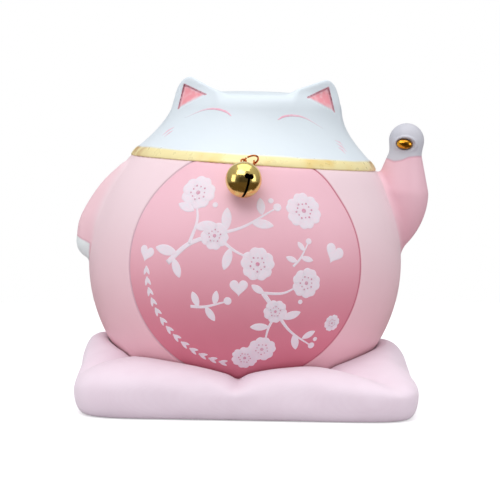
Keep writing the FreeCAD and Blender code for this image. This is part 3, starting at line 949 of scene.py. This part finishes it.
def make_raised_arm(material):
    arm = skinned("raised_arm_glaze", raised_field, (28, -12, 0), (72, 22, 61), 0.5, material,
                  {"paw": raised_paw_edge, "root": raised_limb})
    return join_piece(arm, "figure", "pink_glaze", "raised_arm")


def bead_field(points):
    local = (points - BEAD_AT) / BEAD_HALF
    return (length(local) - 1) * BEAD_HALF.min()


def make_bead(material):
    bead = skinned("paw_bead_gold", bead_field, BEAD_AT - 4, BEAD_AT + 4, 0.16, material)
    return join_piece(bead, "figure", "gold_bead", "paw_bead")


def resting_limb(points):
    """Upper arm and paw lying along the side, without the body."""
    anchors = [(*direction(azimuth, elevation) * away, radius)
               for azimuth, elevation, away, radius in REST_ROUTE]
    balls = curve_points(anchors, REST_BALLS)
    return np.minimum.reduce([round_cone(points, end[:3], start[:3], end[3], start[3])
                              for start, end in zip(balls, balls[1:])])


def resting_field(points):
    """The arm runs softly into the body at the shoulder and ends in a crisp round paw."""
    grow = smoothstep(-2, 14, points[:, 2])
    fillet = REST_FILLET_PAW + (REST_FILLET_SHOULDER - REST_FILLET_PAW) * grow
    return on_body(resting_limb(points), points, fillet)


def resting_paw_edge(points):
    """The white paw's upper edge, a little lower towards the body, and its inner edge."""
    return np.maximum(points[:, 2] - 4.7 + 0.38 * (points[:, 0] + 64.6), points[:, 0] + 59.2)


def make_resting_arm(material):
    arm = skinned("resting_arm_glaze", resting_field, (-72, -34, -16), (-34, 20, 46), 0.5, material,
                  {"paw": resting_paw_edge, "root": resting_limb})
    return join_piece(arm, "figure", "pink_glaze", "resting_arm")


# ---------------------------------------------------------------- painted motifs on the panel

def on_ball(centre, flat, height):
    """Points of a small flat drawing wrapped onto the body round a centre direction."""
    right = unit([-centre[1], centre[0], 0])
    up = unit(Z - centre * centre[2])
    reach = np.hypot(flat[:, 0], flat[:, 1])[:, None]
    aside = np.outer(flat[:, 0], right) + np.outer(flat[:, 1], up)
    ray = np.cos(reach / RADIUS) * centre + np.sin(reach / RADIUS) * aside / np.maximum(reach, 1e-9)
    return ray * (RADIUS + height)


# thickness of the paint over the glaze, of the eyes of the blossoms over that, and how deep it is rooted
PAINT_TOP = 0.05
EYE_TOP = 0.09
PAINT_ROOT = -0.12
LINE_SECTION = [(-0.5, PAINT_ROOT), (-0.5, 0.02), (-0.35, PAINT_TOP), (0.35, PAINT_TOP), (0.5, 0.02),
                (0.5, PAINT_ROOT)]


class Drawing:
    """Flat shapes gathered into one thin painted mesh on the body."""

    def __init__(self, azimuth, elevation, scale=1.0, turn=0.0):
        self.centre = direction(azimuth, elevation)
        self.scale = scale
        self.turn = turn
        self.points = []
        self.faces = []
        self.marks = []

    def put(self, flat, heights, faces, mark=0):
        start = sum(len(p) for p in self.points)
        flat = turned(flat * self.scale, self.turn)
        self.points.append(on_ball(self.centre, flat, heights[:, None]))
        self.faces += [[start + i for i in face] for face in faces]
        self.marks += [mark] * len(faces)

    def spot(self, outline, at=(0, 0), turn=0.0, mark=0):
        """A filled outline that can be seen whole from its middle."""
        middle = outline.mean(0)
        sides = len(outline)
        top = EYE_TOP if mark else PAINT_TOP
        steps = ((0.25, top), (0.5, top), (0.75, top), (0.97, top), (1.0, top - 0.04), (1.0, PAINT_ROOT))
        flat = np.vstack([middle + (outline - middle) * share for share, _ in steps] + [middle])
        heights = np.append(np.repeat([height for _, height in steps], sides), top)
        faces = ring_faces(len(steps), sides) + [[s, (s + 1) % sides, len(flat) - 1] for s in range(sides)]
        faces.append([(len(steps) - 1) * sides + s for s in range(sides)])
        self.put(turned(flat, turn) + at, heights, faces, mark)

    def line(self, anchors, widths):
        """A brush line through its anchors."""
        count = 10 * len(anchors)
        self.put(*brush_line(anchors, widths, LINE_SECTION, count), tube_faces(count, len(LINE_SECTION)))

    def leaf(self, at, long, wide, turn):
        """A pointed leaf whose foot is at this place."""
        angles = full_turn(28)
        side = np.sin(angles) * np.abs(np.sin(angles)) ** 0.6
        self.spot(np.stack([long / 2 * (1 + np.cos(angles)), wide / 2 * side], -1), at, turn)

    def dot(self, at, radius, mark=0):
        angles = full_turn(20)
        self.spot(np.stack([np.cos(angles), np.sin(angles)], -1) * radius, at, mark=mark)

    def petal(self, at, long, wide, turn):
        """A petal with a notched end, its foot at this place."""
        angles = full_turn(40)
        bite = 1 - 0.16 * np.exp(-(np.minimum(angles, 2 * math.pi - angles) / 0.30) ** 2)
        narrow = 1 + 0.12 * np.cos(angles) - 0.15 * np.clip(-np.cos(angles), 0, 1) ** 2
        outline = [long / 2 * (1 + np.cos(angles) * bite), wide / 2 * np.sin(angles) * narrow]
        self.spot(np.stack(outline, -1), at, turn)

    def blossom(self, at, radius, petals=5, turn=90.0):
        """Petals round a rose-coloured eye with two rings of stamens."""
        step = 360 / petals
        for number in range(petals):
            self.petal(at, radius, radius * 1.72 * math.sin(math.pi / petals), turn + step * number)
        self.dot(at, radius * 0.12, mark=1)
        for number in range(petals):
            for beside, reach, size in ((0.5, 0.42, 0.055), (0, 0.36, 0.045)):
                out = turned((reach, 0), turn + step * (number + beside))
                self.dot(at + out * radius, radius * size, mark=1)

    def heart(self, at, size, turn):
        t = full_turn(44)
        high = 13 * np.cos(t) - 5 * np.cos(2 * t) - 2 * np.cos(3 * t) - np.cos(4 * t)
        self.spot(np.stack([16 * np.sin(t) ** 3, high], -1)[::-1] / 32 * size, at, turn)

    def finish(self, name, materials):
        piece = add_mesh(name, to_row(np.vstack(self.points)), self.faces, materials[0])
        for extra in materials[1:]:
            piece.data.materials.append(extra)
        piece.data.polygons.foreach_set("material_index", self.marks)
        fix_normals(piece)
        return join_piece(piece, "figure", "white_glaze")


def large_sprig(drawing, foot=True):
    """A curved twig with three blossoms, buds and leaves; its foot may be left off."""
    leaves = [(2, 1, 8.5, 3.6, 100), (10, 6, 8, 3.4, 5), (5, -4.6, 8, 3.4, -95), (13, 9.5, 6.5, 3.0, 110)]
    route = [(-10, -6), (-1, -1), (8, 4), (17, 13)]
    if foot:
        route.insert(0, (-17, -14))
        leaves += [(-14, -10, 9, 3.8, 175), (-9.4, 0, 8, 3.6, 20), (-11, 6, 7, 3.2, 165),
                   (-15, -12, 7.5, 3.2, -60)]
    else:
        leaves.append((-9.8, -5.6, 6.5, 3.0, 230))
    drawing.line(route, [2.0, 1.6, 1.1, 0.6])
    drawing.line([(-10, -6), (-9, 3), (-12, 11)], [1.3, 1.0, 0.5])
    drawing.line([(-1, -1), (6, -5), (14, -7)], [1.3, 1.0, 0.5])
    for x, y, long, wide, turn in leaves:
        drawing.leaf((x, y), long, wide, turn)
    drawing.blossom((-11.5, 13), 6.6, turn=80)
    drawing.blossom((15.5, -8), 6.2, turn=100)
    drawing.blossom((-1.5, -1.5), 5.2, turn=60)
    for at, radius in (((17.6, 13.8), 1.5), ((14.8, 15.6), 1.0), ((-4, 9.5), 1.0)):
        drawing.dot(at, radius)


def short_sprig(drawing):
    large_sprig(drawing, foot=False)


def small_sprig(drawing):
    """Three leaves and a bud on a short stalk."""
    drawing.line([(-4.5, -4), (-1, -1), (3, 4.5)], [1.0, 0.9, 0.5])
    for at, long, wide, turn in (((-2.5, -2.4), 5.2, 2.4, 150), ((-0.8, -0.8), 5.4, 2.4, -20),
                                 ((1, 1.6), 4.6, 2.1, 120)):
        drawing.leaf(at, long, wide, turn)
    drawing.dot((3.4, 5.2), 1.25)


def make_motifs(materials):
    """Blossoms, hearts and twigs over the panel, and a row of small leaves inside its lower edge."""
    twigs = {"twig_upper": (-10.0, 13.0, 1.02, -6, large_sprig),
             "twig_lower": (13.5, -13.5, 0.86, -78, short_sprig),
             "sprig_right": (19.8, 7.5, 0.9, 10, small_sprig),
             "sprig_left": (-11.5, -12.8, 1.15, -35, small_sprig)}
    for name, (azimuth, elevation, scale, turn, draw) in twigs.items():
        drawing = Drawing(azimuth, elevation, scale, turn)
        draw(drawing)
        drawing.finish(name, materials)
    blossom, heart = Drawing.blossom, Drawing.heart
    singles = {"blossom_large": (20.5, 23.1, blossom, 7.1, 6, 100),
               "blossom_right": (35.1, -15.8, blossom, 3.4, 6, 75),
               "blossom_low": (3.0, -31.5, blossom, 5.0, 6, 90),
               "heart_middle": (-1.6, -5.0, heart, 6.6, 4),
               "heart_right": (32.3, 8.9, heart, 7.8, -25),
               "heart_left": (-36.8, 3.2, heart, 6.4, -12)}
    for name, (azimuth, elevation, draw, *shape) in singles.items():
        drawing = Drawing(azimuth, elevation)
        draw(drawing, (0, 0), *shape)
        drawing.finish(name, materials)
    make_leaf_row(materials)


def make_leaf_row(materials):
    """Pairs of small leaves along an arc inside the groove."""
    for number, clock in enumerate(np.linspace(187, 262, 13)):
        x, y, z = panel_rays(math.radians(36.5) * np.ones(1), np.radians([clock]))[0]
        drawing = Drawing(math.degrees(math.atan2(x, -y)), math.degrees(math.asin(z)), turn=clock + 90)
        drawing.leaf((-1.6, -0.3), 3.6, 1.3, 25)
        drawing.leaf((-1.6, 0.3), 3.6, 1.3, -25)
        drawing.finish(f"leaf_pair_{number + 1:02d}", materials)


# ---------------------------------------------------------------- cushion

CUSHION_LOW, CUSHION_HIGH = box_mm("cushion_base")
HALF_WIDE, HALF_DEEP = (CUSHION_HIGH - CUSHION_LOW)[:2] / 2
SIDES = 288
# height of the widest line, and how far the base is drawn in below it
BULGE_HEIGHT = 8.0
BASE_INSET = 4.0
# the seat keeps this far from the figure, its bottom is this high, and a soft lip rises round it
SEAT_GAP = 0.45
SEAT_FLOOR = 5.6
LIP = 2.6
LIP_DROP = 4.0
# how the outline differs from the sewn panels, and how square its corners are
FRONT_SLANT = 0.11
FRONT_SWELL = 6.5
BACK_SWELL = 1.0
SIDE_SWELL = 1.2
CORNER_POWER = 8.0
# creases run out from the button: azimuth from the front, height of the crest there, and the
# rise of the puff that follows it
CREASES = [(-58, 18.8, 2.9), (-3, 13.4, 2.9), (39, 15.3, 3.3), (112, 20.2, 2.6), (178, 16.0, 3.0),
           (238, 19.5, 5.2)]
CREASE_DEPTH = 0.9
CREASE_WIDTH = 3.0
VALLEY_WIDTH = 7.0


def crest_height(azimuth):
    """Height of the puffs round the seat, with a notch at each crease, and how near a crease is."""
    height = np.zeros_like(azimuth)
    nearness = np.full_like(azimuth, 999.0)
    for number, (start, low, rise) in enumerate(CREASES):
        end, next_low, _ = CREASES[(number + 1) % len(CREASES)]
        span = (end - start) % 360
        along = (azimuth - start) % 360
        here = along < span
        share = along / span
        puff = 1 - np.abs(2 * share - 1) ** 2.4
        height = np.where(here, low + (next_low - low) * share + rise * puff, height)
        nearness = np.minimum(nearness, np.minimum(along, (start - azimuth) % 360))
    return height - CREASE_DEPTH * np.exp(-(nearness / CREASE_WIDTH) ** 2), nearness


def cushion_outline(turn):
    """Distance from the middle to the widest line: a square with full corners and a slanting front."""
    forward = np.cos(turn) - FRONT_SLANT * np.sin(turn)
    half_deep = HALF_DEEP + np.where(forward > 0, FRONT_SWELL, BACK_SWELL)
    wide = np.abs(np.sin(turn) / (HALF_WIDE + SIDE_SWELL)) ** CORNER_POWER
    return (wide + np.abs(forward / half_deep) ** CORNER_POWER) ** (-1 / CORNER_POWER)


def ball_reach(height):
    """Radius of the body's outside at a height above the floor."""
    return np.sqrt(np.maximum((RADIUS + SEAT_GAP) ** 2 - (height - CENTRE_HEIGHT) ** 2, 0))


def cushion_shape():
    """Rings of points from the middle of the top, over the puffs and the rim, to the middle below."""
    side = full_turn(SIDES)
    crest, nearness = crest_height(np.degrees(side))
    rim = cushion_outline(side)
    valley = np.exp(-(nearness / VALLEY_WIDTH) ** 2)
    seat_edge = SEAT_FLOOR + 3
    contact = crest - LIP_DROP
    rings = [(ball_reach(seat_edge) * share, SEAT_FLOOR) for share in np.linspace(0.02, 1, 12)]
    for share in np.linspace(0, 1, 8)[1:]:
        height = seat_edge + (contact - seat_edge) * share
        rings.append((ball_reach(height), height))
    lip = ball_reach(crest) + LIP * (1 - 0.7 * valley)
    for turn in np.linspace(-math.pi / 2, 0, 8)[1:]:
        rings.append((lip + (lip - ball_reach(contact)) * math.sin(turn),
                      contact + (crest - contact) * math.cos(turn)))
    slump = 0.35 * smoothstep(0.85, 0.3, np.cos(side)) * (0.75 + 0.25 * np.sin(side))
    for turn in np.linspace(0, math.pi / 2, 24)[1:]:
        high = max(math.cos(turn), 0) ** (0.75 + slump)
        rings.append((lip + (rim - lip) * math.sin(turn) ** (0.95 + slump),
                      BULGE_HEIGHT + (crest - BULGE_HEIGHT) * high))
    for turn in np.linspace(0, math.pi / 2, 12)[1:]:
        rings.append((rim - BASE_INSET * (1 - math.cos(turn)), BULGE_HEIGHT * (1 - math.sin(turn))))
    rings += [((rim - BASE_INSET) * share, 0) for share in np.linspace(1, 0.02, 12)[1:]]
    points = [np.stack([reach * np.sin(side), -reach * np.cos(side), height + 0 * side], -1)
              for reach, height in rings]
    return np.array(points), valley


def press_seat(points):
    """Keep cloth clear of the figure: below its foot and outside its ball."""
    figure = upright(points - [0, 0, CENTRE_HEIGHT], -LEAN)
    away = length(figure)
    ball, foot = RADIUS + SEAT_GAP, -(FOOT_DROP + SEAT_GAP)
    inside = (away < ball) & (figure[:, 2] > foot)
    use_foot = inside & (figure[:, 2] - foot < ball - away)
    out = figure * (ball / np.maximum(away, 1e-6))[:, None]
    down = np.stack([figure[:, 0], figure[:, 1], np.full(len(figure), foot)], -1)
    moved = np.where(use_foot[:, None], down, np.where(inside[:, None], out, figure))
    return upright(moved) + [0, 0, CENTRE_HEIGHT]


# the cloth is blown up over this many frames, and no point may move further than this
FRAMES = 20
MOST_MOVED = 1.8


def hold_points(cover, points, valley_weight):
    """Pin group: the seat and the base are held, the creases nearly so."""
    seat = smoothstep(1.0, 5.0, length(points[:, :2]) - ball_reach(points[:, 2]))
    base = smoothstep(0.3, 3.0, points[:, 2])
    group = cover.vertex_groups.new(name="held")
    for index, weight in enumerate(np.clip(1 - seat * base + 0.85 * valley_weight, 0, 1)):
        group.add([index], float(weight), "REPLACE")
    return group


def even_steps(step):
    """Average each point's movement with its neighbours', so that only the soft folds stay."""
    grid = step[:-2].reshape(-1, SIDES, 3).copy()
    for _ in range(14):
        around = np.roll(grid, 1, 1) + np.roll(grid, -1, 1)
        grid[1:-1] = 0.4 * grid[1:-1] + 0.15 * (around[1:-1] + grid[:-2] + grid[2:])
    return np.vstack([grid.reshape(-1, 3), step[-2:]])


def blow_up(cover, points, valley_weight):
    """Let the filling push the cover out, as cloth held at its creases, then keep that shape."""
    group = hold_points(cover, points, valley_weight)
    cloth = cover.modifiers.new("cloth", "CLOTH")
    settings = cloth.settings
    settings.quality = 5
    settings.mass = 0.15
    settings.tension_stiffness = settings.compression_stiffness = settings.shear_stiffness = 12
    settings.bending_stiffness = 2.0
    settings.use_pressure = True
    settings.uniform_pressure_force = 3
    settings.shrink_min = -0.008
    settings.effector_weights.gravity = 0
    settings.vertex_group_mass = group.name
    scene = bpy.context.scene
    for frame_number in range(1, FRAMES + 1):
        scene.frame_set(frame_number)
    shown = cover.evaluated_get(bpy.context.evaluated_depsgraph_get())
    moved = np.empty(len(points) * 3)
    shown.data.vertices.foreach_get("co", moved)
    moved = moved.reshape(-1, 3) / MM
    scene.frame_set(1)
    cover.modifiers.remove(cloth)
    step = even_steps(moved - points)
    size = length(step)[:, None]
    return points + step * np.minimum(1, MOST_MOVED / np.maximum(size, 1e-9))


def make_cushion(material):
    rings, valley = cushion_shape()
    count = len(rings)
    points = press_seat(np.vstack([rings.reshape(-1, 3), [0, 0, rings[0, 0, 2]], [0, 0, 0]]))
    valley_weight = np.append(np.tile(valley, count), [0, 0])
    valley_weight *= smoothstep(0.95, 0.6, length(points[:, :2]) / HALF_WIDE)
    # this attribute carries the painted shade of the creases
    cover = add_mesh("cushion_cover", points * MM, ball_faces(count, SIDES), material,
                     attributes={"fold_shade": valley_weight * 0.3})
    points = press_seat(blow_up(cover, points, valley_weight))
    points[:, 2] = np.maximum(points[:, 2], 0)
    cover.data.vertices.foreach_set("co", (points * MM).ravel())
    smooth = cover.modifiers.new("smooth", "SUBSURF")
    smooth.levels = smooth.render_levels = 1
    return join_piece(cover, "cushion", "cushion_cloth", "cushion_top", "cushion_base", "cushion_filling",
                      "tuft_thread")


# ---------------------------------------------------------------- bell and other CAD nodes

def dress(material, *nodes):
    """Give carried-over CAD nodes their finish."""
    for node in nodes:
        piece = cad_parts[node]
        piece.data.materials.clear()
        piece.data.materials.append(material)
        for face in piece.data.polygons:
            face.use_smooth = True


# ---------------------------------------------------------------- studio

def make_floor():
    """A round sheet of paper under the cushion."""
    points, faces = lathe([(0.1, 0), (150, 0), (250, 0), (420, 0)], 64, closed=False)
    floor = add_mesh("studio_floor", points * MM, faces, floor_material())
    floor.location.z = CAD_LOW.z - 0.0002


def area_light(name, at, aim, size, power):
    data = bpy.data.lights.new(name, "AREA")
    data.shape = "RECTANGLE"
    data.size, data.size_y = size
    data.energy = power
    lamp = bpy.data.objects.new(name, data)
    bpy.context.scene.collection.objects.link(lamp)
    lamp.location = at
    lamp.rotation_euler = Vector(np.subtract(aim, at)).to_track_quat("-Z", "Y").to_euler()


def make_light():
    middle = (0, 0, CENTRE_HEIGHT * MM)
    area_light("key", (-0.25, -0.60, 0.80), middle, (0.8, 0.5), 3.3)
    area_light("top", (0.05, 0.0, 0.95), middle, (0.9, 0.9), 3.4)
    area_light("side_left", (-0.75, -0.35, 0.22), middle, (0.4, 0.5), 1.0)
    area_light("side_right", (0.75, -0.35, 0.22), middle, (0.4, 0.5), 1.25)


def make_world():
    """Soft grey room, lighter above, white to the camera and dark in front for the shiny pieces."""
    world = bpy.data.worlds.new("studio")
    bpy.context.scene.world = world
    world.use_nodes = True
    tree = world.node_tree
    room = add_node(tree, "TexCoord").outputs["Generated"]
    height = ramp(tree, one_axis(tree, room, "Z"), -1.0, 1.0, smooth=False)
    sky = add_node(tree, "ValToRGB", {"Fac": height})
    stops = sky.color_ramp.elements
    stops[0].color = (0.15, 0.13, 0.14, 1)
    stops[1].color = (0.62, 0.64, 0.66, 1)
    stops.new(0.5).color = (0.30, 0.30, 0.31, 1)
    front = ramp(tree, one_axis(tree, room, "Y"), -0.97, -0.35, 0.9, 0)
    dark = times(tree, front, add_node(tree, "LightPath").outputs["Is Glossy Ray"])
    background = tree.nodes["Background"]
    plug(tree, mix(tree, dark, sky.outputs["Color"], (0.03, 0.02, 0.01, 1)), background.inputs["Color"])
    background.inputs["Strength"].default_value = 1.0
    plain = add_node(tree, "Background", {"Color": (1, 1, 1, 1), "Strength": 1.0})
    seen = by_ray(tree, "Is Camera Ray", background, plain)
    plug(tree, seen.outputs[0], tree.nodes["World Output"].inputs["Surface"])


CAMERA_RIGHT = 0.00192
CAMERA_AWAY = 0.770
CAMERA_RISE = 0.054
CAMERA_DIP = 3.69


def make_camera():
    """Level with the top of the head, a little right of the middle, looking slightly down."""
    data = bpy.data.cameras.new("camera")
    data.sensor_width = 36.0
    data.lens = 144.0
    data.clip_start = 0.01
    data.clip_end = 20
    camera = bpy.data.objects.new("camera", data)
    bpy.context.scene.collection.objects.link(camera)
    camera.location = (CAMERA_RIGHT, -CAMERA_AWAY, CENTRE_HEIGHT * MM + CAMERA_RISE)
    camera.rotation_euler = (math.radians(90 - CAMERA_DIP), 0, 0)
    bpy.context.scene.camera = camera


# ---------------------------------------------------------------- all together

make_camera()
make_floor()
make_light()
make_world()
bpy.context.scene.view_settings.view_transform = "Standard"

make_body(body_material())
make_head(head_material())
make_face(paint_material("stroke_paint", STROKE, WHITE))
make_collar(gilt_material())
# the raised arm's pink is darker than the body's: painted shade for the arm's shaded right side
make_raised_arm(arm_material("raised_arm_shaded_pink", colour(238, 194, 205), colour(232, 175, 188), RAISED_PAW_SHADED_WHITE))
make_resting_arm(arm_material("resting_arm_paint", colour(244, 207, 214), colour(243, 200, 209),
                              SOLE_WHITE))
make_bead(plated_material("bead_gold", colour(226, 160, 50), colour(170, 100, 20), 0.2))
make_motifs([paint_material("motif_paint", MOTIF), paint_material("motif_eye_paint", MOTIF_EYE)])
make_cushion(cloth_material("cushion_cloth", colour(239, 222, 233), colour(216, 190, 204)))
dress(bell_material(colour(240, 212, 128), colour(222, 180, 96)), "bell_crown", "bell_skirt")
dress(plated_material("ring_plate", colour(206, 124, 66), colour(130, 66, 30)),
      "bell_loop", "jump_ring", "bell_eye_pin")
dress(plated_material("pellet_steel", colour(120, 118, 115), colour(90, 88, 86), 0.35), "bell_pellet")
dress(cloth_material("button_cloth", colour(240, 214, 228), colour(210, 170, 192)), "tuft_button")
